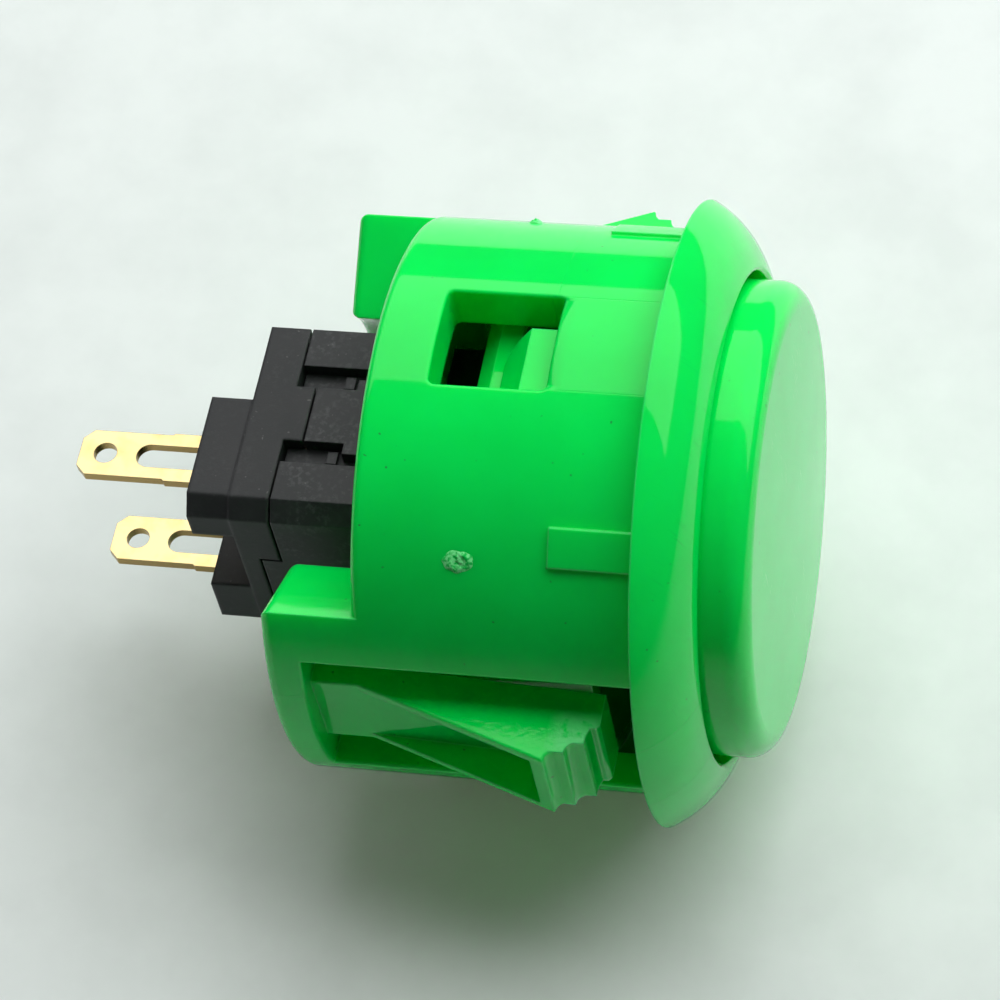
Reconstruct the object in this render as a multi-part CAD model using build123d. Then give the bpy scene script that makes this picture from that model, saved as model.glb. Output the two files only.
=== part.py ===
from build123d import *
import math
import os

# Arcade push button for a 30 mm panel hole, in millimetres.
# The origin is on the plunger's axis, in the plane of the rim's underside, where the panel's
# front face lies. +Z points out of the panel. The snap arms are on X, the windows on Y.

# Housing: rim and barrel
rim_overhang = 1.65
rim_edge = 0.05
rim_crown = 2.75
rim_bulge = 0.42
lip_round = 0.25
barrel_radius = 14.65
barrel_length = 14.5
barrel_round = 0.5
wall = 2.6
back_wall = 1.8
cap_bore_depth = 3.4

# Housing: windows, panel pads and ears
window_width = 5.7
window_length = 6.0
window_top = 5.3
window_round = 0.35
pad_height = 0.2
pad_width = 2.0
pad_length = 4.4
pad_angle = 42.0
ear_angle = 61.0
ear_reach = 4.75
ear_inner = 9.1
ear_round = 0.6
edge_round = 0.15
turning_seam = 65.0

# Housing: snap arms in their slots
slot_width = 9.5
slot_end = 2.0
slot_floor = 11.0
slot_wall = 1.0
arm_width = 5.1
arm_skin = 1.4
arm_root_face = 13.5
arm_bend = 2.45
arm_lean = 0.75
arm_flange = 0.5
panel_grip = 2.05
tooth_count = 3
tooth_pitch = 0.96
tooth_drop = 0.6
tooth_riser = 0.45
tooth_hollow = 0.35
tooth_round = 0.06
foot_skin = 2.0
foot_drop = 0.2
tip_radius = 17.0
tip_drop = 4.6
spread = 0.7
pocket_wall = 0.75

# Plunger
plunger_radius = 12.35
plunger_height = 5.35
plunger_crown = 0.25
plunger_round = 1.3
plunger_wall = 1.6
skirt_depth = 1.0
travel = 2.0
leg_width = 3.8
leg_shift = 0.4
leg_thickness = 1.5
leg_face = 11.5
leg_depth = 8.4
leg_round = 1.2
hook_reach = 1.9
hook_land = 1.5
brace_width = 8.4
brace_inset = 0.6
brace_thickness = 2.0
brace_top = 8.0
brace_height = 2.0
brace_chamfer = 0.9
rib_thickness = 2.4
rib_foot = 6.0
rib_shoulder = 3.5
cross_rib_reach = 8.0
cross_rib_depth = 5.0

# Switch body: base and cover
switch_y = -0.45
switch_width = 11.7
switch_depth = 11.3
switch_chamfer = 0.9
switch_back = 22.8
base_plate = 2.15
cover_top = 11.0
cover_roof = 1.3
cover_wall_x = 1.35
cover_wall_y = 1.1
neck_step = 0.65
nib_catch = 0.4
nib_length = 1.1
nib_width = 4.0
seam = 0.12
tongue_x = -0.45
tongue_width = 3.4
tongue_length = 1.0
latch_slot_width = 1.35
latch_slot_length = 3.25
latch_slot_depth = 0.75
latch_run_width = 0.7
latch_run_length = 2.0
peg_width = 0.75
peg_length = 0.55
peg_height = 0.35
peg_inset = 0.3
side_tongue_start = -1.15
side_tongue_width = 4.15
block_height = 2.25
block_inset = 0.1
block_start = -1.2
near_block_width = 2.6
far_block_width = 4.0

# Terminals
blade_x = 1.9
blade_width = 2.8
blade_thickness = 0.5
blade_length = 6.8
blade_chamfer = 0.55
blade_shoulder = 0.1
shoulder_length = 2.0
wire_hole = 1.25
wire_hole_inset = 1.4
wire_slot_width = 1.4
wire_slot_inset = 3.1
wire_slot_run = 4.6
tab_reach = 1.4
tab_end = 1.95
bend_round = 0.45

# Contacts
contact_pitch = 5.6
contact_gap = 1.0
pedestal_height = 2.0
fixed_head_radius = 0.85
fixed_head = 0.5
fixed_shank_radius = 0.55
bridge_width = 2.2
bridge_length = 7.4
bridge_thickness = 0.3
bridge_round = 0.6
bridge_head_radius = 0.8
bridge_head = 0.45
bridge_shank_radius = 0.45
head_chamfer = 0.15

# Switch slider and its springs
slider_depth = 3.0
slider_bar = 1.0
slider_window_width = 2.7
contact_spring_length = 2.2
stem_width = 3.6
stem_depth = 2.8
stem_proud = 0.4
stem_chamfer = 0.3
return_pin_radius = 0.9
return_pin_length = 0.8
contact_pin_radius = 0.5
contact_pin_length = 0.7
spring_pocket = 1.35
return_coil_radius = 1.3
return_wire = 0.3
return_turns = 5.5
contact_coil_radius = 0.85
contact_wire = 0.2
contact_turns = 4.5

# Clearances
cap_clearance = 0.4
stop_clearance = 0.1
slide_clearance = 0.1
opening_clearance = 0.1
blade_clearance = 0.05
terminal_clearance = 0.3
nib_clearance = 0.05
pocket_clearance = 0.3

# Sizes and heights that several pieces share
rim_radius = barrel_radius + rim_overhang
back_face = -barrel_length
cap_edge = plunger_height - plunger_crown
cover_foot = -switch_back + base_plate
pedestal_top = cover_foot + pedestal_height
tab_top = pedestal_top + blade_thickness
fixed_contact_top = tab_top + fixed_head
bridge_bottom = fixed_contact_top + contact_gap + bridge_head
bridge_top = bridge_bottom + bridge_thickness
slider_window_top = bridge_top + contact_spring_length
bar_top = bridge_bottom - slide_clearance
bar_bottom = bar_top - slider_bar
cover_ceiling = -cover_top - cover_roof
slider_top = cover_ceiling - stop_clearance
stem_top = -cover_top + travel + stem_proud
pocket_floor = cover_foot - spring_pocket
cavity_width = switch_width - 2 * cover_wall_x
cavity_depth = switch_depth - 2 * cover_wall_y
neck_width = switch_width - 2 * neck_step
blade_pitch = cavity_depth - blade_thickness - 2 * terminal_clearance
arm_inner_root = arm_root_face - arm_skin
ear_end = back_face - ear_reach
slot_bottom = ear_end + slot_end

# How far a rounded corner's middle stays from the sharp corner's sides, as a share of its radius
arc_sag = 1 - 0.5 ** 0.5


def block(x, y, z):
    """Box between two limits on each axis."""
    size = (x[1] - x[0], y[1] - y[0], z[1] - z[0])
    middle = ((x[0] + x[1]) / 2, (y[0] + y[1]) / 2, (z[0] + z[1]) / 2)
    return Pos(*middle) * Box(*size)


def across(width):
    """Limits of a width that is centred on zero."""
    return (-width / 2, width / 2)


def post(radius, bottom, top):
    """Upright cylinder between two heights."""
    return Pos(0, 0, (bottom + top) / 2) * Cylinder(radius, top - bottom)


def turned(edges):
    """Solid turned about Z from an outline of X and Z."""
    return revolve(make_face(edges), Axis.Z)


def plate_xz(edges, width):
    """Outline of X and Z, extruded evenly to both sides of Y = 0."""
    return extrude(make_face(edges), amount=width / 2, dir=(0, 1, 0), both=True)


def plate_yz(edges, width):
    """Outline of Y and Z, extruded evenly to both sides of X = 0."""
    return extrude(make_face(edges), amount=width / 2, dir=(1, 0, 0), both=True)


def at_xz(points):
    return [(x, 0, z) for x, z in points]


def at_yz(points):
    return [(0, y, z) for y, z in points]


def both_ends(piece):
    """The piece and its copy half a turn round Z."""
    return piece + Rot(0, 0, 180) * piece


# Housing


def housing_cup():
    """Barrel, rim and the ring that the ears are left from, with its seam clear of what is cut."""
    bore = plunger_radius + cap_clearance
    lower_bore = barrel_radius - wall
    lip = (bore + lip_round, rim_crown)
    edge = (rim_radius, rim_edge)
    run = (lip[0] - edge[0], lip[1] - edge[1])
    length = (run[0] ** 2 + run[1] ** 2) ** 0.5
    bulge = (run[1] / length * rim_bulge, -run[0] / length * rim_bulge)
    crest = ((edge[0] + lip[0]) / 2 + bulge[0], (edge[1] + lip[1]) / 2 + bulge[1])
    slant = lip_round * arc_sag
    outside = at_xz([
        (0, back_face), (ear_inner, back_face), (ear_inner, ear_end), (barrel_radius, ear_end),
        (barrel_radius, 0), (rim_radius, 0), edge])
    dome = at_xz([edge, crest, lip])
    inner_lip = at_xz([lip, (bore + slant, rim_crown - slant), (bore, rim_crown - lip_round)])
    inside = at_xz([
        (bore, rim_crown - lip_round), (bore, -cap_bore_depth), (lower_bore, -cap_bore_depth),
        (lower_bore, back_face + back_wall), (0, back_face + back_wall), (0, back_face)])
    cup = turned([
        Polyline(*outside), ThreePointArc(*dome), ThreePointArc(*inner_lip), Polyline(*inside)])
    return Rot(0, 0, turning_seam) * cup


def ear_gap():
    """Wedge behind the barrel at +Y, between the two ears."""
    half = math.radians(ear_angle / 2)
    reach = barrel_radius / math.sin(half)
    corner = (reach * math.cos(half), reach * math.sin(half))
    wedge = make_face(Polyline((0, 0), corner, (-corner[0], corner[1]), (0, 0)))
    return Pos(0, 0, ear_end) * extrude(wedge, amount=ear_reach)


def skin_edges(body, half_x, half_y, bottom, top):
    """Edges on the barrel's outside whose middles lie within the limits."""
    edges = []
    for edge in body.edges():
        middle = edge @ 0.5
        off_skin = abs(math.hypot(middle.X, middle.Y) - barrel_radius)
        within = abs(middle.X) < half_x and abs(middle.Y) < half_y and bottom < middle.Z < top
        if within and off_skin < edge_round / 10:
            edges.append(edge)
    return edges


def stair(start, end):
    """Hollow riser and straight tread of one step of the snap arm, from ridge to ridge."""
    tread = (end[0], start[1] + tooth_riser * (end[1] - start[1]))
    middle = ((start[0] + tread[0]) / 2, (start[1] + tread[1]) / 2)
    corner = (tread[0], start[1])
    sag = [m + tooth_hollow * (c - m) for m, c in zip(middle, corner)]
    return [ThreePointArc(*at_xz([start, sag, tread])), Line(*at_xz([tread, end]))]


def on_ridge(edge, ridges):
    middle = edge @ 0.5
    return any(math.hypot(middle.X - x, middle.Z - z) < tooth_round for x, z in ridges)


def snap_arm(tip):
    """Cored wedge at +X, hinged at the ear, with a stepped end that grips the panel."""
    bend = slot_bottom + arm_bend
    arm_end = -panel_grip
    lean = arm_lean + tip - tip_radius
    inner_end = arm_inner_root + lean
    foot = (inner_end + foot_skin, arm_end - foot_drop)
    ridges = [(tip - i * tooth_drop, -tip_drop + i * tooth_pitch) for i in range(tooth_count)] + [foot]
    sunk = slot_bottom - slot_end / 2
    sides = at_xz([
        foot, (foot[0] - foot_drop, arm_end), (inner_end, arm_end), (arm_inner_root, sunk),
        (arm_root_face, sunk), (arm_root_face, bend), ridges[0]])
    edges = [Polyline(*sides)]
    for start, end in zip(ridges, ridges[1:]):
        edges += stair(start, end)
    arm = plate_xz(edges, arm_width)
    pocket_end = -tip_drop - pocket_wall
    floor_end = arm_root_face + lean * (pocket_end - bend) / (arm_end - slot_bottom)
    pocket = at_xz([(arm_root_face, bend), (floor_end, pocket_end), (rim_radius + tip_drop, pocket_end),
                    (rim_radius + tip_drop, bend), (arm_root_face, bend)])
    arm -= plate_xz([Polyline(*pocket)], arm_width - 2 * arm_flange)
    tips = [edge for edge in arm.edges().filter_by(Axis.Y) if on_ridge(edge, ridges)]
    arm = fillet(tips, tooth_round)
    sides = [edge for edge in arm.edges() if abs((edge @ 0.5).Y) > arm_width / 2 - tooth_round]
    outer = [edge for edge in sides if (edge @ 0.5).X > arm_root_face - tooth_round]
    return fillet([edge for edge in outer if (edge @ 0.5).Z < -tip_drop - tooth_round], edge_round)


def slot_backs():
    """Walls that close the barrel behind the two snap arms."""
    inside = post(barrel_radius - wall / 2, back_face + back_wall / 2, -cap_bore_depth)
    back = block((slot_floor - slot_wall, rim_radius), (-rim_radius, rim_radius), (back_face, 0))
    return inside & both_ends(back)


def panel_pads():
    disc = post(barrel_radius + pad_height, -pad_length, 0)
    bar = block((-rim_radius, rim_radius), across(pad_width), (-pad_length, 0))
    bars = Rot(0, 0, 90 - pad_angle) * bar + Rot(0, 0, 90 + pad_angle) * bar
    return (disc & bars) - post(barrel_radius - wall / 2, -pad_length, 0)


def housing():
    slot = block((slot_floor, rim_radius + tip_drop), across(slot_width), (slot_bottom, 0))
    window = block(across(window_width), (-rim_radius, rim_radius),
                   (-window_top - window_length, -window_top))
    window = fillet(window.edges().filter_by(Axis.Y), window_round)
    half_depth = switch_depth / 2 + opening_clearance
    opening = block(across(neck_width + 2 * opening_clearance),
                    (switch_y - half_depth, switch_y + half_depth), (back_face, back_face + back_wall))
    body = housing_cup() - both_ends(ear_gap())
    body = fillet(body.edges().group_by(Axis.Z)[0], ear_round)
    back_rim = skin_edges(body, rim_radius, rim_radius, back_face - edge_round, back_face + edge_round)
    body = fillet(back_rim, barrel_round) + slot_backs() + panel_pads()
    body = body - both_ends(slot) - window - opening
    outer = skin_edges(body, window_width / 2 + edge_round, rim_radius,
                       -window_top - window_length - edge_round, -window_top + edge_round)
    outer += skin_edges(body, rim_radius, slot_width / 2 + edge_round, slot_bottom - edge_round, -slot_end)
    arms = snap_arm(tip_radius) + Rot(0, 0, 180) * snap_arm(tip_radius + spread)
    return fillet(outer, edge_round) + arms


# Plunger


def plunger_leg():
    """Leg at -Y with a hook that stops under the window's upper edge."""
    hook_top = -window_top - stop_clearance
    inner = leg_face - leg_thickness
    top = cap_edge - plunger_wall / 2
    reach = leg_face + hook_reach
    outline = at_yz([
        (-inner, top), (-leg_face, top), (-leg_face, hook_top), (-reach, hook_top),
        (-reach, hook_top - hook_land), (-leg_face, -leg_depth), (-inner, -leg_depth), (-inner, top)])
    leg = plate_yz([Polyline(*outline)], leg_width)
    front = block(across(leg_width), (-reach, -inner), (-leg_depth, top))
    feet = front.edges().filter_by(Axis.Y).group_by(Axis.Z)[0]
    return Pos(leg_shift, 0, 0) * (leg & fillet(feet, leg_round))


def leg_brace():
    """Bar at -Y across the leg's foot, its lower outside edge cut off."""
    outer = leg_face - brace_inset
    inner = outer - brace_thickness
    foot = brace_top + brace_height
    outline = at_yz([
        (-outer, -brace_top), (-outer, -foot + brace_chamfer), (-outer + brace_chamfer, -foot), (-inner, -foot),
        (-inner, -brace_top), (-outer, -brace_top)])
    return plate_yz([Polyline(*outline)], brace_width)


def push_post():
    """Rib between the legs, with a shorter rib across it, that presses the switch."""
    top = cap_edge - plunger_wall / 2
    foot = stem_top + stop_clearance
    reach = leg_face - leg_thickness / 2
    low = rib_foot / 2
    main = at_yz([
        (-reach, top), (-reach, -rib_shoulder), (-low + switch_y, foot), (low + switch_y, foot),
        (reach, -rib_shoulder), (reach, top), (-reach, top)])
    cross = at_xz([
        (-cross_rib_reach, top), (-rib_thickness, -cross_rib_depth), (rib_thickness, -cross_rib_depth),
        (cross_rib_reach, top), (-cross_rib_reach, top)])
    return plate_yz([Polyline(*main)], rib_thickness) + plate_xz([Polyline(*cross)], rib_thickness)


def plunger_cap():
    inner = plunger_radius - plunger_wall
    ceiling = cap_edge - plunger_wall
    middle = (plunger_radius / 2, plunger_height - plunger_crown / 4)
    face = at_xz([(0, plunger_height), middle, (plunger_radius, cap_edge)])
    skirt = at_xz([
        (plunger_radius, cap_edge), (plunger_radius, -skirt_depth), (inner, -skirt_depth), (inner, ceiling),
        (0, ceiling), (0, plunger_height)])
    cap = turned([ThreePointArc(*face), Polyline(*skirt)])
    circles = cap.edges().filter_by(GeomType.CIRCLE)
    rim = [circle for circle in circles if abs(circle.arc_center.Z - cap_edge) < edge_round]
    return fillet(rim, plunger_round) + both_ends(plunger_leg() + leg_brace()) + push_post()


# Switch, modelled about its own middle and then moved to switch_y


def switch_prism(inset, bottom, top):
    """Upright block of the switch's outline, with its two +X corners cut off."""
    x = switch_width / 2 - inset
    y = switch_depth / 2 - inset
    c = switch_chamfer
    outline = Polyline((-x, -y), (x - c, -y), (x, -y + c), (x, y - c), (x - c, y), (-x, y), (-x, -y))
    return Pos(0, 0, bottom) * extrude(make_face(outline), amount=top - bottom)


def side_tongues(gap, bottom, top):
    """Steps of the cover that reach into the base's sides at +X and -X."""
    start = side_tongue_start - gap
    end = side_tongue_start + side_tongue_width + gap
    inner = cavity_width / 2 - gap
    right = block((inner, switch_width), (start, end), (bottom, top))
    return right + mirror(right, Plane.YZ)


def front_tongues(top):
    """Steps of the base that reach into the cover's walls at -Y and +Y."""
    near = block(across(tongue_width), (-switch_depth / 2, -cavity_depth / 2), (cover_foot, top))
    return Pos(tongue_x, 0, 0) * (near + mirror(near, Plane.XZ))


def blade_slots():
    width = blade_width + 2 * blade_shoulder + 2 * blade_clearance
    depth = blade_thickness + 2 * blade_clearance
    slots = Part()
    for y in across(blade_pitch):
        slots += Pos(blade_x, y, -switch_back) * Box(width, depth, 2 * (block_height + base_plate))
    return slots


def switch_base():
    half_y = switch_depth / 2
    end = -switch_back - block_height
    rear = switch_prism(block_inset, end, -switch_back)
    near_block = rear & block((block_start, switch_width), (-half_y, -half_y + near_block_width), (end, 0))
    far_block = rear & block((block_start, switch_width), (half_y - far_block_width, half_y), (end, 0))
    pedestal = block((-tab_reach, blade_x + blade_width / 2),
                     (tab_end, (blade_pitch - blade_thickness) / 2), (cover_foot, pedestal_top))
    body = switch_prism(0, -switch_back, cover_foot) + near_block + far_block
    body += front_tongues(cover_foot + tongue_length)
    body += pedestal + mirror(pedestal, Plane.XZ)
    body -= side_tongues(seam, cover_foot - tongue_length - seam, cover_foot)
    return body - blade_slots() - post(return_coil_radius + return_wire / 2 + pocket_clearance,
                                       pocket_floor, cover_foot)


def latch_slots():
    """Recesses in the cover's front and back walls, each with a small peg near its end."""
    start = tongue_width / 2
    outer = switch_depth / 2
    floor = outer - latch_slot_depth
    end = cover_foot + latch_slot_length
    middle = start + latch_slot_width / 2
    wide = block((start, start + latch_slot_width), (floor, outer), (cover_foot, end))
    run = block((start + latch_slot_width - latch_run_width, start + latch_slot_width), (floor, outer),
                (end, end + latch_run_length))
    peg = block((middle - peg_width / 2, middle + peg_width / 2), (floor, floor + peg_height),
                (end - peg_inset - peg_length, end - peg_inset))
    slot = wide + run - peg
    pair = Pos(tongue_x, 0, 0) * (slot + mirror(slot, Plane.YZ))
    return pair + mirror(pair, Plane.XZ)


def catch_nibs():
    """Wedges on the cover's neck that catch inside the housing's back wall."""
    foot = back_face + back_wall + nib_clearance
    neck = neck_width / 2
    reach = neck + opening_clearance + nib_catch
    outline = at_xz([(neck, foot), (reach, foot), (neck, foot + nib_length), (neck, foot)])
    return both_ends(plate_xz([Polyline(*outline)], nib_width))


def switch_cover():
    foot = cover_foot + seam
    neck_cut = block((neck_width / 2, switch_width), (-switch_depth, switch_depth), (back_face, 0))
    cavity = block(across(cavity_width), across(cavity_depth), (-switch_back, cover_ceiling))
    stem_hole = block(across(stem_width + 2 * slide_clearance), across(stem_depth + 2 * slide_clearance),
                      (cover_ceiling, 0))
    body = switch_prism(0, foot, -cover_top) - both_ends(neck_cut)
    tongues = side_tongues(0, cover_foot - tongue_length, foot)
    body += catch_nibs() + (tongues & switch_prism(0, -switch_back, 0))
    body -= front_tongues(cover_foot + tongue_length + seam)
    return body - cavity - stem_hole - latch_slots()


def terminal(side):
    """Blade with a wire hole and slot, bent inside into a tab that carries a contact."""
    back = -switch_back - block_height
    tip = back - blade_length
    half = blade_width / 2
    wide = half + blade_shoulder
    cut = blade_chamfer
    shoulder = back - shoulder_length
    outline = at_xz([
        (-half + cut, tip), (half - cut, tip), (half, tip + cut), (half, shoulder),
        (wide, shoulder + blade_shoulder), (wide, tab_top), (-wide, tab_top),
        (-wide, shoulder + blade_shoulder), (-half, shoulder), (-half, tip + cut), (-half + cut, tip)])
    blade = plate_xz([Polyline(*outline)], blade_thickness)
    hole = Pos(0, 0, tip + wire_hole_inset) * Rot(90, 0, 0) * Cylinder(wire_hole / 2, 2 * blade_thickness)
    slot_middle = tip + wire_slot_inset + wire_slot_run / 2
    slot = Pos(0, slot_middle) * Rot(0, 0, 90) * SlotOverall(wire_slot_run, wire_slot_width)
    slot = extrude(Plane.XZ * slot, amount=blade_thickness, both=True)
    outer = (blade_pitch + blade_thickness) / 2
    blade = Pos(blade_x, outer - blade_thickness / 2, 0) * (blade - hole - slot)
    tab = block((-tab_reach, blade_x + wide), (tab_end, outer), (pedestal_top, tab_top))
    tab -= Pos(0, contact_pitch / 2, 0) * post(fixed_shank_radius, pedestal_top, tab_top)
    bent = blade + tab
    bend = bent.edges().filter_by(Axis.X).group_by(Axis.Y)[-1].group_by(Axis.Z)[-1]
    bent = fillet(bend, bend_round)
    return bent if side > 0 else mirror(bent, Plane.XZ)


def fixed_contact(side):
    head = post(fixed_head_radius, tab_top, fixed_contact_top)
    head = chamfer(head.edges().group_by(Axis.Z)[-1], head_chamfer)
    rivet = head + post(fixed_shank_radius, pedestal_top, tab_top)
    return Pos(0, side * contact_pitch / 2, 0) * rivet


def contact_bridge():
    strip = block(across(bridge_width), across(bridge_length), (bridge_bottom, bridge_top))
    strip = fillet(strip.edges().filter_by(Axis.Z), bridge_round)
    for y in across(contact_pitch):
        strip -= Pos(0, y, 0) * post(bridge_shank_radius, bridge_bottom, bridge_top)
    return strip


def bridge_contact(side):
    head = post(bridge_head_radius, bridge_bottom - bridge_head, bridge_bottom)
    head = chamfer(head.edges().group_by(Axis.Z)[0], head_chamfer)
    rivet = head + post(bridge_shank_radius, bridge_bottom, bridge_top)
    return Pos(0, side * contact_pitch / 2, 0) * rivet


def switch_slider():
    width = cavity_width - 2 * slide_clearance
    body = block(across(width), across(slider_depth), (bar_bottom, slider_top))
    body -= block(across(slider_window_width), across(2 * slider_depth), (bar_top, slider_window_top))
    stem = block(across(stem_width), across(stem_depth), (slider_window_top, stem_top))
    stem = chamfer(stem.edges().group_by(Axis.Z)[-1], stem_chamfer)
    return_pin = post(return_pin_radius, bar_bottom - return_pin_length, bar_bottom)
    contact_pin = post(contact_pin_radius, slider_window_top - contact_pin_length, slider_window_top)
    return body + stem + return_pin + contact_pin


def coil(radius, wire, turns, bottom, top):
    """Coil spring with its two ends ground flat."""
    pitch = (top - bottom) / turns
    path = Pos(0, 0, bottom) * Helix(pitch=pitch, height=top - bottom, radius=radius)
    section = Plane(origin=path @ 0, z_dir=path % 0) * RegularPolygon(wire / 2, 8)
    slab = post(radius + wire, bottom, top)
    return sweep(section, path) & slab


def return_spring():
    return coil(return_coil_radius, return_wire, return_turns, pocket_floor, bar_bottom)


def contact_spring():
    return coil(contact_coil_radius, contact_wire, contact_turns, bridge_top, slider_window_top)


def main():
    os.makedirs("parts", exist_ok=True)
    in_switch = {
        "switch_base": switch_base(),
        "switch_cover": switch_cover(),
        "terminal_near": terminal(-1),
        "terminal_far": terminal(1),
        "fixed_contact_near": fixed_contact(-1),
        "fixed_contact_far": fixed_contact(1),
        "contact_bridge": contact_bridge(),
        "bridge_contact_near": bridge_contact(-1),
        "bridge_contact_far": bridge_contact(1),
        "switch_slider": switch_slider(),
        "return_spring": return_spring(),
        "contact_spring": contact_spring(),
    }
    nodes = {name: Pos(0, switch_y, 0) * piece for name, piece in in_switch.items()}
    nodes["housing"] = housing()
    nodes["plunger"] = plunger_cap()
    for name, piece in nodes.items():
        export_step(piece, f"parts/{name}.step")


main()
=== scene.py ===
import math

import bmesh
import bpy
from mathutils import Matrix, Vector, noise


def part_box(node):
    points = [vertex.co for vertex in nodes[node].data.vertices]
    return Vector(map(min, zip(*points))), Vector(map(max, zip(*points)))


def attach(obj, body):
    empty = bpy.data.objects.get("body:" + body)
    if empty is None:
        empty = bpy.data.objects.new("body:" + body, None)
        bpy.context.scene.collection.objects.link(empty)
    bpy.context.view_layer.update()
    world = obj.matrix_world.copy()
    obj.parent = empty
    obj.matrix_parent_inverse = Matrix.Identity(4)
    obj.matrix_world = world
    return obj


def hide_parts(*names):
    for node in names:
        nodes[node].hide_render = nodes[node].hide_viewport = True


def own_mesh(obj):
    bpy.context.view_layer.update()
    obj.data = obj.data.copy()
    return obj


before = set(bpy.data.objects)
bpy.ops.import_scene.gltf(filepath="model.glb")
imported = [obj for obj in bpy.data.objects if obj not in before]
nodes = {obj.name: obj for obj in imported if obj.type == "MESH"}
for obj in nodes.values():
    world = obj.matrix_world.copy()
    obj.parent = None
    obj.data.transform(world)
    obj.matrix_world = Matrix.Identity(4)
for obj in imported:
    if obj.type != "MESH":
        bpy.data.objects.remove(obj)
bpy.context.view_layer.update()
scene = bpy.context.scene
scene.view_settings.view_transform = "Standard"

# Sizes in metres, in the part's own frame: +Z points out of the panel, the snap arms
# stand on X and the windows look along Y
MM = 0.001
MICRON = 0.000001

# Camera, as fitted to the photo
CAMERA_PLACE = (0.1225287, -0.1845047, 0.0404634)
CAMERA_AZIMUTH = math.radians(33.5909)
CAMERA_ELEVATION = math.radians(12.9063)
CAMERA_ROLL = math.radians(4.0566)
CAMERA_LENS = 156.174
CAMERA_SENSOR = 36.0
CAMERA_NEAREST = 0.01

# Lamps and the room around them
LAMP_HEIGHT = 0.30
WATTS_PER_LEVEL = 4  # for each square metre of lamp
ROOM_BRIGHT_WAY = (-0.6, -0.6, 0.5)
ROOM_LEVELS = (0.04, 0.10)
ROOM_COLOUR = (0.97, 1.0, 0.985, 1)
BACKDROP_LEVEL = 0.95

# Floor: its plane, its limits, where along X its near end is painted in shade for rays other than
# the camera's, and a glow, seen by the camera only, that paints its shadows lighter
FLOOR_NORMAL = Vector((0.0, -0.9908, 0.1357))
FLOOR_OFFSET = -16.49 * MM
FLOOR_LEFT, FLOOR_RIGHT, FLOOR_REACH = -0.60, 0.30, 0.50
FLOOR_NEAR_END = (0.015, 0.135)
FLOOR_PALE = ((0.635, 0.692, 0.675, 1), (0.688, 0.747, 0.729, 1))
# Painted shade on the floor's near end, for rays other than the camera's
FLOOR_PAINTED_SHADE = (0.10, 0.11, 0.11, 1)
# Painted light: the camera alone sees the floor glow this much
FLOOR_LIFT = 0.055
FLOOR_LIFT_COLOUR = (1.0, 0.93, 0.78, 1)

# Where the housing carries its marks
BARREL_RADIUS = 14.65 * MM
RIM_EDGE = (0.6 * MM, 1.2 * MM)
CORE_EDGE = 2.85 * MM
CORE_LENGTH = (-6 * MM, -0.02 * MM)
CORE_REACH = (11 * MM, 12 * MM)
WINDOW_EDGE = 2.6 * MM
LIP_LENGTH = (-4.5 * MM, -5.3 * MM)
LIP_HEIGHTS = (-132 * MICRON, -238 * MICRON)
RING_LINE = -5.7 * MM
RING_START = (-2.9 * MM, -3.1 * MM)
GROOVE_HALF_WIDTH = 0.02 * MM
GROOVE_SOFT = 0.03 * MM
STEP_FLANK = (2.46 * MM, 2.70 * MM)
STEP_LENGTH = (-3.9 * MM, -2.3 * MM)
STEP_REACH = (14.4 * MM, 16.2 * MM)
ARM_FLANK = (2.5 * MM, 2.6 * MM)
ARM_REACH = (12 * MM, 13 * MM)

# Gate scars
SCAR_RINGS, SCAR_SPOKES = 14, 40
SCAR_RAGGED = 0.25
SCAR_RAGGED_TURNS = 1.6
SCAR_LUMP = 0.26 * MM
SCAR_LEAST_RISE = 0.006 * MM
SCAR_BORDER_DROP = 0.04 * MM
SCAR_FOOT = 0.985  # its share of the distance from the barrel's axis

# Springs
COIL_STEPS = 40
WIRE_STEPS = 10

# Colours, in pairs where a finish runs from one to the other
GREEN = ((0.0, 0.755, 0.084, 1), (0.0, 0.82, 0.097, 1))
# Painted highlight along the rounded edges of the green plastic
GREEN_EDGE_HIGHLIGHT = (0.12, 0.97, 0.30, 1)
GREEN_SPECK = (0.03, 0.16, 0.05, 1)
# Scuffs on the arm flanks, made paler to also paint the light that falls there
GREEN_SCUFF_AND_SHEEN = (0.20, 0.92, 0.36, 1)
GREEN_RUB = (0.0, 0.42, 0.06, 1)
GREEN_FACE_MARK = (0.30, 0.9, 0.45, 1)
GREEN_TORN = ((0.0, 0.62, 0.08, 1), (0.22, 0.97, 0.34, 1))
BLACK = ((0.013, 0.0142, 0.0148), (0.021, 0.0228, 0.0236))
BLACK_RUBBED = (0.055, 0.055, 0.058, 1)
BLACK_SCUFF = (0.085, 0.088, 0.09, 1)
BLACK_SPECK = (0.16, 0.16, 0.155, 1)
GOLD = ((1.0, 0.83, 0.42, 1), (0.93, 0.70, 0.29, 1))
GOLD_SHEARED = (0.42, 0.26, 0.09, 1)
SILVER = ((0.72, 0.72, 0.70, 1), (0.86, 0.86, 0.84, 1))
BRASS = ((0.70, 0.47, 0.18, 1), (0.84, 0.62, 0.27, 1))
STEEL = ((0.50, 0.51, 0.53, 1), (0.66, 0.67, 0.69, 1))

# The range that holds most of a noise's values
MOST = (0.3, 0.7)


# Nodes that the room, the finishes and the springs are made of


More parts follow.
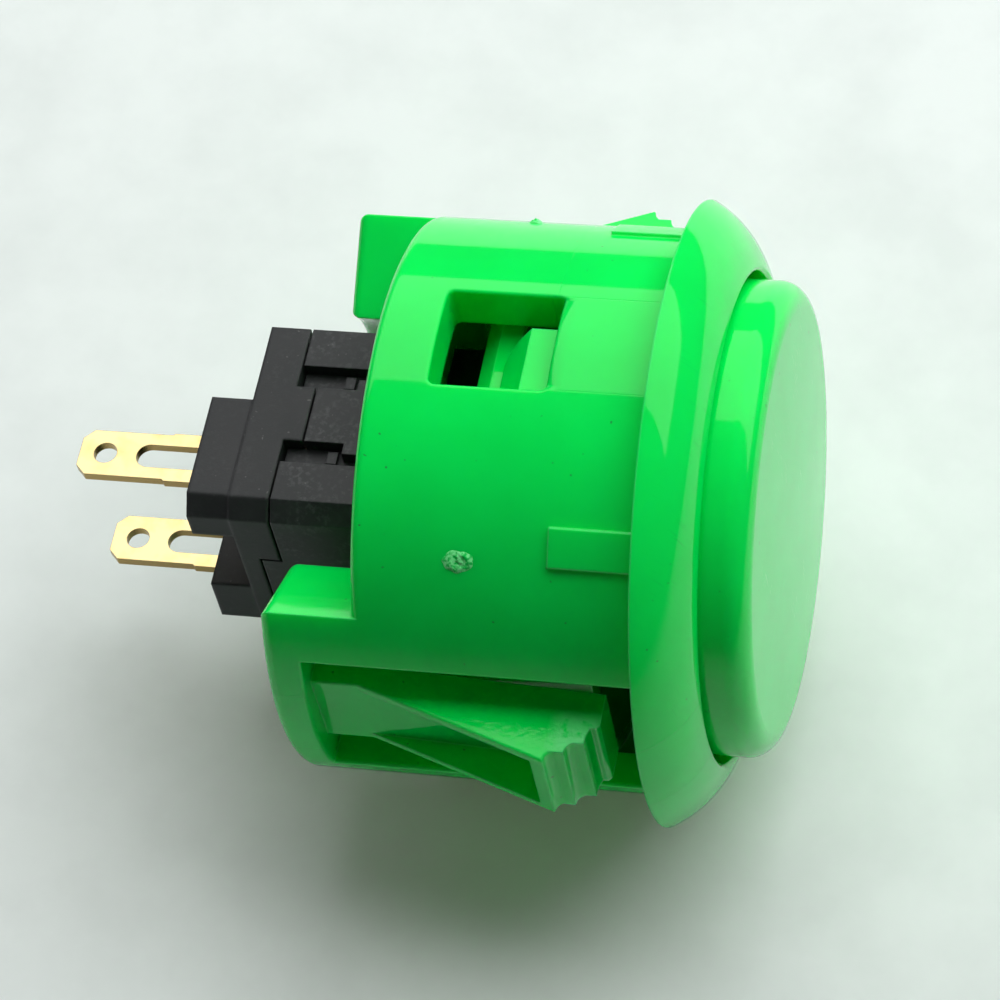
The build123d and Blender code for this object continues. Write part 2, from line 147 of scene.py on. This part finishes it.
class Nodes:
    """The nodes of one tree."""

    def __init__(self, tree, family="ShaderNode"):
        self.tree = tree
        self.family = family

    def join(self, value, socket):
        """Gives a socket its value, or links another node's socket to it."""
        if isinstance(value, bpy.types.NodeSocket):
            self.tree.links.new(value, socket)
        else:
            socket.default_value = value

    def add(self, kind, inputs=None, **settings):
        """A node with its settings and its inputs."""
        node = self.tree.nodes.new(self.family + kind)
        for key, value in settings.items():
            setattr(node, key, value)
        for key, value in (inputs or {}).items():
            self.join(value, node.inputs[key])
        return node

    def math(self, operation, *values):
        return self.add("Math", dict(enumerate(values)), operation=operation).outputs[0]

    def times(self, first, *others):
        for other in others:
            first = self.math("MULTIPLY", first, other)
        return first

    def total(self, first, *others):
        for other in others:
            first = self.math("ADD", first, other)
        return first

    def ranged(self, value, limits, to=(0.0, 1.0), **settings):
        """A value brought from one range to another, and held inside it."""
        inputs = {"Value": value, "From Min": limits[0], "From Max": limits[1],
                  "To Min": to[0], "To Max": to[1]}
        return self.add("MapRange", inputs, **settings).outputs["Result"]

    def within(self, value, limits, soft):
        """Mask of where a value lies between two limits."""
        low, high = limits
        return self.times(self.ranged(value, (low - soft, low)),
                          self.ranged(value, (high + soft, high)))

    def blended(self, amount, first, second):
        """A colour this far from the first to the second."""
        inputs = {0: amount, 6: first, 7: second}
        return self.add("Mix", inputs, data_type="RGBA").outputs[2]

    def place(self):
        return self.add("TexCoord").outputs["Object"]

    def normal(self):
        return self.add("NewGeometry").outputs["Normal"]

    def camera_ray(self):
        return self.add("LightPath").outputs["Is Camera Ray"]

    def split(self, vector):
        """The X, Y and Z of a place or a direction."""
        return self.add("SeparateXYZ", {0: vector}).outputs

    def facing(self, first, second):
        """How far two directions agree."""
        inputs = {0: first, 1: second}
        return self.add("VectorMath", inputs, operation="DOT_PRODUCT").outputs["Value"]

    def stretched(self, scale, turn=(0, 0, 0)):
        """Places on the piece, stretched and turned."""
        inputs = {"Vector": self.place(), "Scale": scale, "Rotation": turn}
        return self.add("Mapping", inputs).outputs[0]

    def grain(self, size, detail=2.0, rough=0.5, vector=None):
        """Noise whose grains are about this many metres across."""
        inputs = {"Vector": vector or self.place(), "Scale": 1.0 / size,
                  "Detail": detail, "Roughness": rough}
        return self.add("TexNoise", inputs).outputs["Fac"]

    def scratches(self, size, turn, share):
        """Mask of fine straight scratches that run one way, in patches."""
        lines = self.grain(size, 1.0, vector=self.stretched((1.0, 0.035, 0.035), turn))
        patches = self.ranged(self.grain(3.5 * MM), (0.5, 0.62))
        return self.times(self.ranged(lines, (1 - share, 1 - share + 0.03)), patches)


class Finish(Nodes):
    """A material and the nodes that lead to its surface."""

    def __init__(self, name):
        self.material = bpy.data.materials.new(name)
        self.material.use_nodes = True
        super().__init__(self.material.node_tree)
        self.surface = self.tree.nodes["Principled BSDF"]

    def give(self, values):
        """Sets or links inputs of the surface."""
        for key, value in values.items():
            self.join(value, self.surface.inputs[key])

    def rounded(self, radius):
        """Normals that run round each edge."""
        return self.add("Bevel", {"Radius": radius}, samples=6).outputs[0]

    def worn(self, rounded):
        """Mask of the edges that are rounded."""
        return self.ranged(self.facing(rounded, self.normal()), (0.985, 0.80))

    def relief(self, height, distance=1.0, strength=1.0, rounded=None):
        """Gives the surface its fine heights, over rounded edges where it has them."""
        inputs = {"Height": height, "Distance": distance, "Strength": strength}
        if rounded:
            inputs["Normal"] = rounded
        self.give({"Normal": self.add("Bump", inputs).outputs[0]})


# Camera, soft studio light and floor


def photo_camera():
    """The fitted camera: the button's axis runs across its picture."""
    level = math.cos(CAMERA_ELEVATION)
    back = Vector((math.sin(CAMERA_AZIMUTH) * level, -math.cos(CAMERA_AZIMUTH) * level,
                   math.sin(CAMERA_ELEVATION)))
    right = (Vector((0, 0, 1)) - back * back.z).normalized()
    up = back.cross(right)
    turned_right = right * math.cos(CAMERA_ROLL) + up * math.sin(CAMERA_ROLL)
    turned_up = up * math.cos(CAMERA_ROLL) - right * math.sin(CAMERA_ROLL)
    camera = bpy.data.objects.new("photo_camera", bpy.data.cameras.new("photo_camera"))
    camera.data.sensor_width = CAMERA_SENSOR
    camera.data.lens = CAMERA_LENS
    camera.data.clip_start = CAMERA_NEAREST
    axes = Matrix((turned_right, turned_up, back)).transposed().to_4x4()
    camera.matrix_world = Matrix.Translation(CAMERA_PLACE) @ axes
    scene.collection.objects.link(camera)
    scene.camera = camera


def ceiling_lamp(name, x, z, level, glossy):
    """A rectangular lamp above the button, of even brightness. Its limits are given as
    shares of its height."""
    light = bpy.data.lights.new(name, "AREA")
    light.shape = "RECTANGLE"
    light.size = (x[1] - x[0]) * LAMP_HEIGHT
    light.size_y = (z[1] - z[0]) * LAMP_HEIGHT
    light.energy = level * WATTS_PER_LEVEL * light.size * light.size_y
    lamp = bpy.data.objects.new(name, light)
    lamp.location = Vector(((x[0] + x[1]) / 2, -1, (z[0] + z[1]) / 2)) * LAMP_HEIGHT
    lamp.rotation_euler = (math.pi / 2, 0, 0)
    lamp.visible_camera = False
    lamp.visible_glossy = glossy
    scene.collection.objects.link(lamp)


def studio():
    """A long window panel above the button, to its left, and a softer glow nearer to it,
    in a dim room. The camera sees the room pale."""
    ceiling_lamp("window_panel", (-2.2, -0.2), (-1.2, 3.0), level=1.0, glossy=True)
    ceiling_lamp("ceiling_glow", (-1.2, 0.0), (-0.25, 1.3), level=3.1, glossy=False)
    world = bpy.data.worlds.new("soft_room")
    world.use_nodes = True
    scene.world = world
    room = Nodes(world.node_tree)
    way = room.add("TexCoord").outputs["Generated"]
    dim = room.ranged(room.facing(way, ROOM_BRIGHT_WAY), (-0.4, 1.0), ROOM_LEVELS)
    inputs = {0: room.camera_ray(), 2: dim, 3: BACKDROP_LEVEL}
    level = room.add("Mix", inputs, data_type="FLOAT").outputs[0]
    background = room.tree.nodes["Background"]
    room.join(level, background.inputs["Strength"])
    room.join(ROOM_COLOUR, background.inputs["Color"])


def pale_floor():
    """Pale, faintly clouded, and seen from above only. Rays other than the camera's find its
    near end painted darker as shade, and the camera alone sees its shadows lifted a little by a
    painted glow."""
    sheet = Finish("pale_floor")
    clouds = sheet.ranged(sheet.grain(7 * MM, 4.0, 0.6), (0.32, 0.62))
    pale = sheet.blended(clouds, *FLOOR_PALE)
    x = sheet.split(sheet.place())["X"]
    near = sheet.ranged(x, FLOOR_NEAR_END, interpolation_type="SMOOTHSTEP")
    seen = sheet.camera_ray()
    unseen = sheet.ranged(seen, (0.0, 1.0), (1.0, 0.0))
    sheet.give({
        # Painted shade: rays other than the camera's see the near end dark
        "Base Color": sheet.blended(sheet.times(near, unseen), pale, FLOOR_PAINTED_SHADE),
        "Roughness": 0.75,
        # Painted light: a faint glow, seen by the camera only, lifts the floor's shadows
        "Emission Color": FLOOR_LIFT_COLOUR,
        "Emission Strength": sheet.times(seen, FLOOR_LIFT),
    })
    behind = sheet.add("NewGeometry").outputs["Backfacing"]
    clear = sheet.add("BsdfTransparent").outputs[0]
    one_sided = sheet.add("MixShader", {0: behind, 1: sheet.surface.outputs[0], 2: clear})
    sheet.join(one_sided.outputs[0], sheet.tree.nodes["Material Output"].inputs["Surface"])
    return sheet.material


def floor():
    """Plain pale sheet that the button lies on."""
    side = FLOOR_NORMAL.cross(Vector((1, 0, 0))).normalized()
    middle = FLOOR_NORMAL * FLOOR_OFFSET
    limits = ((FLOOR_LEFT, -FLOOR_REACH), (FLOOR_RIGHT, -FLOOR_REACH),
              (FLOOR_RIGHT, FLOOR_REACH), (FLOOR_LEFT, FLOOR_REACH))
    corners = [middle + Vector((x, 0, 0)) + side * y for x, y in limits]
    mesh = bpy.data.meshes.new("floor")
    mesh.from_pydata(corners, [], [(0, 1, 2, 3)])
    if mesh.polygons[0].normal.dot(FLOOR_NORMAL) < 0:
        mesh.flip_normals()
    mesh.materials.append(pale_floor())
    plane = bpy.data.objects.new("floor", mesh)
    plane.visible_shadow = False
    scene.collection.objects.link(plane)


# Finishes


def groove(plastic, value, place, depth):
    """Height of a fine line, cut where a value reaches this place."""
    limits = (place - GROOVE_HALF_WIDTH, place + GROOVE_HALF_WIDTH)
    return plastic.times(plastic.within(value, limits, GROOVE_SOFT), -depth)


def core_marks(plastic, x, side, z):
    """Height left by the side core that shapes a window: a strip up to the rim with a fine
    seam on each side and a soft lip next to the window, and a ring line beside it."""
    strip = plastic.times(plastic.within(z, CORE_LENGTH, 0.02 * MM),
                          plastic.ranged(side, CORE_REACH))
    upper_seam = groove(plastic, x, -CORE_EDGE, 14 * MICRON)
    lower_seam = groove(plastic, x, CORE_EDGE, 4 * MICRON)
    fall = plastic.ranged(z, LIP_LENGTH)
    depth = plastic.ranged(plastic.times(x, x), (0.0, WINDOW_EDGE ** 2), LIP_HEIGHTS)
    opening = plastic.within(x, (-WINDOW_EDGE, WINDOW_EDGE), 0.25 * MM)
    lip = plastic.times(fall, fall, depth, opening)
    core = plastic.times(plastic.total(upper_seam, lower_seam, lip), strip)
    ring = groove(plastic, z, RING_LINE, 4 * MICRON)
    return plastic.total(core, plastic.times(ring, plastic.ranged(x, RING_START)))


def arm_scuffs_and_sheen(plastic, out, side, z):
    """Scuffed flanks of the snap arms and their steps, as a height and a mask; the mask's paler
    scuffs also paint a highlight.
    """
    flank = plastic.times(plastic.within(side, STEP_FLANK, 0.10 * MM),
                          plastic.within(z, STEP_LENGTH, 0.8 * MM),
                          plastic.within(out, STEP_REACH, 0.5 * MM))
    scuff_and_sheen = plastic.times(flank, plastic.ranged(plastic.grain(0.5 * MM), (0.30, 0.46)))
    burrs = plastic.times(plastic.grain(0.24 * MM, 3.0), scuff_and_sheen, 9 * MICRON)
    peel = plastic.times(plastic.within(side, ARM_FLANK, 0.02 * MM),
                         plastic.ranged(out, ARM_REACH),
                         plastic.grain(0.35 * MM, 3.0), 25 * MICRON)
    return plastic.total(burrs, peel), scuff_and_sheen


def housing_marks(plastic, colour, roughness):
    """Core and seam lines, scuffed snap arms with a painted highlight, and a rubbed rim."""
    x, y, z = plastic.split(plastic.place())
    out, side = plastic.math("ABSOLUTE", x), plastic.math("ABSOLUTE", y)
    scuffed, scuff_and_sheen = arm_scuffs_and_sheen(plastic, out, side, z)
    height = plastic.total(core_marks(plastic, x, side, z), scuffed)
    rubs = plastic.times(plastic.scratches(0.06 * MM, (0.4, 0, 0.9), 0.32),
                         plastic.ranged(z, RIM_EDGE))
    # Paler scuffs: partly real wear, partly a painted highlight on the arm flanks
    colour = plastic.blended(plastic.times(scuff_and_sheen, 0.42), colour, GREEN_SCUFF_AND_SHEEN)
    colour = plastic.blended(plastic.times(rubs, 0.35), colour, GREEN_RUB)
    roughness = plastic.total(roughness, plastic.times(scuff_and_sheen, 0.12), plastic.times(rubs, 0.2))
    return colour, roughness, height


def face_marks(plastic, colour, roughness):
    """A few fine scratches on the face that is pressed, which is a little duller."""
    face = plastic.ranged(plastic.split(plastic.normal())["Z"], (0.96, 0.995))
    marks = plastic.times(plastic.scratches(0.05 * MM, (0, 0, 0.5), 0.30), face)
    colour = plastic.blended(plastic.times(marks, 0.18), colour, GREEN_FACE_MARK)
    roughness = plastic.total(roughness, plastic.times(marks, 0.15), plastic.times(face, 0.05))
    return colour, roughness, 0.0


def green_plastic(name, marks):
    """Glossy, slightly see-through green with a painted highlight along its edges, faint ripples
    and a few specks, and the marks of its own moulding."""
    plastic = Finish(name)
    rounded = plastic.rounded(0.16 * MM)
    tone = plastic.ranged(plastic.grain(5 * MM, 3.0), MOST)
    colour = plastic.blended(tone, *GREEN)
    # Painted highlight: the rounded edges are made paler, as if lit
    colour = plastic.blended(plastic.times(plastic.worn(rounded), 0.45), colour, GREEN_EDGE_HIGHLIGHT)
    specks = plastic.times(plastic.ranged(plastic.grain(0.24 * MM, 0.0), (0.84, 0.86)),
                           plastic.ranged(plastic.grain(4 * MM), (0.5, 0.55)))
    colour = plastic.blended(plastic.times(specks, 0.6), colour, GREEN_SPECK)
    roughness = plastic.ranged(plastic.grain(2.2 * MM, 4.0), MOST, (0.035, 0.075))
    colour, roughness, height = marks(plastic, colour, roughness)
    plastic.give({
        "Base Color": colour,
        "Roughness": roughness,
        "Subsurface Weight": 0.45,
        "Subsurface Radius": (0.25, 1.0, 0.45),
        "Subsurface Scale": 1.1 * MM,
        "IOR": 1.5,
    })
    ripple = plastic.times(plastic.grain(2.4 * MM, 1.0), 3 * MICRON)
    peel = plastic.times(plastic.grain(0.25 * MM), 0.2 * MICRON)
    plastic.relief(plastic.total(ripple, peel, height), rounded=rounded)
    return plastic.material


def black_plastic(name, shade, edge, worn):
    """Matt moulded black with a fine spark-eroded grain, rubbed edges of this radius and a
    share of pale scuffs."""
    plastic = Finish(name)
    rounded = plastic.rounded(edge)
    patches = plastic.grain(2.5 * MM, 4.0)
    dark, light = ([part * shade for part in tone] + [1] for tone in BLACK)
    colour = plastic.blended(plastic.ranged(patches, MOST), dark, light)
    uneven = plastic.ranged(plastic.grain(0.5 * MM, 3.0), (0.35, 0.65), (0.2, 0.8))
    rubbed = plastic.times(plastic.worn(rounded), uneven)
    colour = plastic.blended(rubbed, colour, BLACK_RUBBED)
    scuffs = plastic.times(plastic.ranged(plastic.grain(0.30 * MM, 5.0, 0.65), (0.50, 0.70)),
                           plastic.ranged(plastic.grain(2.0 * MM), (0.42, 0.60), (0.25, 1.0)))
    colour = plastic.blended(plastic.times(scuffs, worn), colour, BLACK_SCUFF)
    specks = plastic.ranged(plastic.grain(0.14 * MM, 0.0), (0.85, 0.88))
    colour = plastic.blended(plastic.times(specks, 0.5), colour, BLACK_SPECK)
    plastic.give({
        "Base Color": colour,
        "Roughness": plastic.ranged(patches, MOST, (0.42, 0.56)),
    })
    plastic.relief(plastic.grain(0.12 * MM, 3.0, 0.6), 10 * MICRON, 0.7, rounded)
    return plastic.material


def gold_plate():
    """Bright gold plating, drawn lengthwise, with darker sheared edges."""
    gold = Finish("gold_plate")
    across = gold.math("ABSOLUTE", gold.split(gold.normal())["Y"])
    sheared = gold.ranged(across, (0.75, 0.45))
    drawn = gold.grain(0.09 * MM, 3.0, vector=gold.stretched((1.0, 1.0, 0.06)))
    tarnish = gold.ranged(gold.grain(1.2 * MM, 4.0), (0.45, 0.75))
    colour = gold.blended(tarnish, *GOLD)
    satin = gold.ranged(drawn, MOST, (0.10, 0.18))
    gold.give({
        "Base Color": gold.blended(gold.times(sheared, 0.85), colour, GOLD_SHEARED),
        "Roughness": gold.total(satin, gold.times(sheared, 0.16)),
        "Metallic": 1.0,
    })
    gold.relief(drawn, 3 * MICRON, 0.5, gold.rounded(0.05 * MM))
    return gold.material


def plain_metal(name, tones, rough):
    """Satin metal of the pieces inside the switch."""
    metal = Finish(name)
    drawn = metal.grain(0.08 * MM, 3.0)
    metal.give({
        "Base Color": metal.blended(drawn, *tones),
        "Roughness": metal.ranged(drawn, MOST, (rough - 0.06, rough + 0.06)),
        "Metallic": 1.0,
    })
    metal.relief(drawn, 2 * MICRON, 0.4)
    return metal.material


def torn_plastic():
    """Broken-off gate: the green stressed to a paler, rough break."""
    plastic = Finish("torn_plastic")
    flakes = plastic.grain(0.22 * MM, 3.0, 0.6)
    plastic.give({
        "Base Color": plastic.blended(plastic.ranged(flakes, (0.40, 0.56)), *GREEN_TORN),
        "Roughness": 0.35,
        "IOR": 1.4,
    })
    plastic.relief(plastic.times(flakes, 12 * MICRON))
    return plastic.material


# Pieces made here


def on_barrel(radius, angle, height):
    return Vector((radius * math.cos(angle), radius * math.sin(angle), height))


def gate_scar(name, angle, height, size, rise, seed, material):
    """Rough stub on the barrel where the moulding was broken off its runner."""
    mesh = bmesh.new()

    def point(ring, spoke):
        share = ring / SCAR_RINGS
        turn = math.tau * spoke / SCAR_SPOKES
        way = Vector((math.cos(turn), math.sin(turn), seed))
        ragged = 1 + SCAR_RAGGED * noise.noise(way * SCAR_RAGGED_TURNS)
        around = size[0] / 2 * share * ragged * math.cos(turn)
        along = size[1] / 2 * share * ragged * math.sin(turn)
        lumps = noise.fractal(Vector((around, along, seed * MM)) / SCAR_LUMP, 0.7, 2.1, 3)
        crest = rise * (1 + lumps) * (1 - share ** 4)
        lift = max(crest, SCAR_LEAST_RISE) - SCAR_BORDER_DROP * share ** 8
        bearing = angle + around / BARREL_RADIUS
        return mesh.verts.new(on_barrel(BARREL_RADIUS + lift, bearing, height + along))

    middle = point(0, 0)
    loops = [[point(ring, spoke) for spoke in range(SCAR_SPOKES)]
             for ring in range(1, SCAR_RINGS + 1)]
    base = [mesh.verts.new((v.co.x * SCAR_FOOT, v.co.y * SCAR_FOOT, v.co.z)) for v in loops[-1]]
    foot = mesh.verts.new(on_barrel(BARREL_RADIUS * SCAR_FOOT, angle, height))
    loops.append(base)
    for i in range(SCAR_SPOKES):
        j = (i + 1) % SCAR_SPOKES
        mesh.faces.new((middle, loops[0][i], loops[0][j]))
        mesh.faces.new((foot, base[j], base[i]))
        for inner, outer in zip(loops, loops[1:]):
            mesh.faces.new((inner[i], outer[i], outer[j], inner[j]))
    bmesh.ops.recalc_face_normals(mesh, faces=mesh.faces)
    data = bpy.data.meshes.new(name)
    mesh.to_mesh(data)
    mesh.free()
    data.materials.append(material)
    data.shade_smooth()
    scar = bpy.data.objects.new(name, data)
    scene.collection.objects.link(scar)
    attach(scar, "case")


def spring_tree(material):
    """Geometry Nodes tree of a coil spring with a closed ring at each end."""
    tree = bpy.data.node_groups.new("coil_spring", "GeometryNodeTree")
    tree.interface.new_socket("Geometry", in_out="OUTPUT", socket_type="NodeSocketGeometry")
    for name in ("Coil Radius", "Wire Radius", "Turns", "Height"):
        tree.interface.new_socket(name, in_out="INPUT", socket_type="NodeSocketFloat")
    tree.interface.new_socket("Foot", in_out="INPUT", socket_type="NodeSocketVector")
    given = tree.nodes.new("NodeGroupInput").outputs
    geometry = Nodes(tree, "GeometryNode")

    def made(kind, **inputs):
        return geometry.add(kind, {key.replace("_", " "): inputs[key] for key in inputs}).outputs[0]

    coil = made("CurveSpiral", Resolution=COIL_STEPS, Rotations=given["Turns"],
                Start_Radius=given["Coil Radius"], End_Radius=given["Coil Radius"],
                Height=given["Height"])
    ring = made("CurvePrimitiveCircle", Resolution=COIL_STEPS, Radius=given["Coil Radius"])
    lift = tree.nodes.new("ShaderNodeCombineXYZ")
    tree.links.new(given["Height"], lift.inputs["Z"])
    end_ring = made("Transform", Geometry=ring, Translation=lift.outputs[0])
    paths = geometry.add("JoinGeometry")
    for path in (coil, ring, end_ring):
        tree.links.new(path, paths.inputs[0])
    wire = made("CurvePrimitiveCircle", Resolution=WIRE_STEPS, Radius=given["Wire Radius"])
    tube = made("CurveToMesh", Curve=paths.outputs[0], Profile_Curve=wire, Fill_Caps=True)
    placed = made("Transform", Geometry=tube, Translation=given["Foot"])
    whole = made("RealizeInstances", Geometry=placed)
    coated = made("SetMaterial", Geometry=whole, Material=material)
    tree.links.new(coated, tree.nodes.new("NodeGroupOutput").inputs[0])
    return tree


def spring(name, tree, body, wire, turns):
    """Coil spring that stands for the node of this name."""
    low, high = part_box(name)
    wire_radius = wire / 2
    middle = (low + high) / 2
    piece = bpy.data.objects.new(name + "_coil", bpy.data.meshes.new(name + "_coil"))
    scene.collection.objects.link(piece)
    modifier = piece.modifiers.new("coil", "NODES")
    modifier.node_group = tree
    values = {
        "Coil Radius": (high.x - low.x) / 2 - wire_radius,
        "Wire Radius": wire_radius,
        "Turns": turns,
        "Height": high.z - low.z - 2 * wire_radius,
        "Foot": (middle.x, middle.y, low.z + wire_radius),
    }
    for item in tree.interface.items_tree:
        if item.in_out == "INPUT":
            modifier[item.identifier] = values[item.name]
    bpy.context.view_layer.update()
    shaped = piece.evaluated_get(bpy.context.evaluated_depsgraph_get())
    mesh = bpy.data.meshes.new_from_object(shaped)
    piece.modifiers.clear()
    piece.data = mesh
    mesh.shade_smooth()
    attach(piece, body)
    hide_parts(name)
    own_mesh(piece)


def coat(material, *names):
    """Gives CAD nodes their finish."""
    for name in names:
        slots = nodes[name].data.materials
        slots.clear()
        slots.append(material)


def main():
    photo_camera()
    studio()
    floor()
    coat(green_plastic("green_housing", housing_marks), "housing")
    coat(green_plastic("green_plunger", face_marks), "plunger")
    coat(black_plastic("black_base", shade=1.0, edge=0.28 * MM, worn=0.15), "switch_base")
    coat(black_plastic("black_cover", shade=1.1, edge=0.12 * MM, worn=0.55), "switch_cover")
    coat(black_plastic("black_slider", shade=1.0, edge=0.12 * MM, worn=0.15), "switch_slider")
    coat(gold_plate(), "terminal_near", "terminal_far")
    coat(plain_metal("contact_silver", SILVER, rough=0.32), "fixed_contact_near",
         "fixed_contact_far", "bridge_contact_near", "bridge_contact_far")
    coat(plain_metal("bridge_brass", BRASS, rough=0.34), "contact_bridge")
    steel = plain_metal("spring_steel", STEEL, rough=0.28)
    coat(steel, "return_spring", "contact_spring")
    coil = spring_tree(steel)
    spring("return_spring", coil, "case",
           wire=0.3 * MM, turns=5.0)
    spring("contact_spring", coil, "slider",
           wire=0.2 * MM, turns=4.0)
    torn = torn_plastic()
    gate_scar("gate_scar_near", math.radians(-44.1), -8.96 * MM, (1.3 * MM, 1.65 * MM),
              rise=0.07 * MM, seed=3.0, material=torn)
    gate_scar("gate_scar_top", math.radians(-137), -8.85 * MM, (0.75 * MM, 0.8 * MM),
              rise=0.12 * MM, seed=8.0, material=torn)


main()
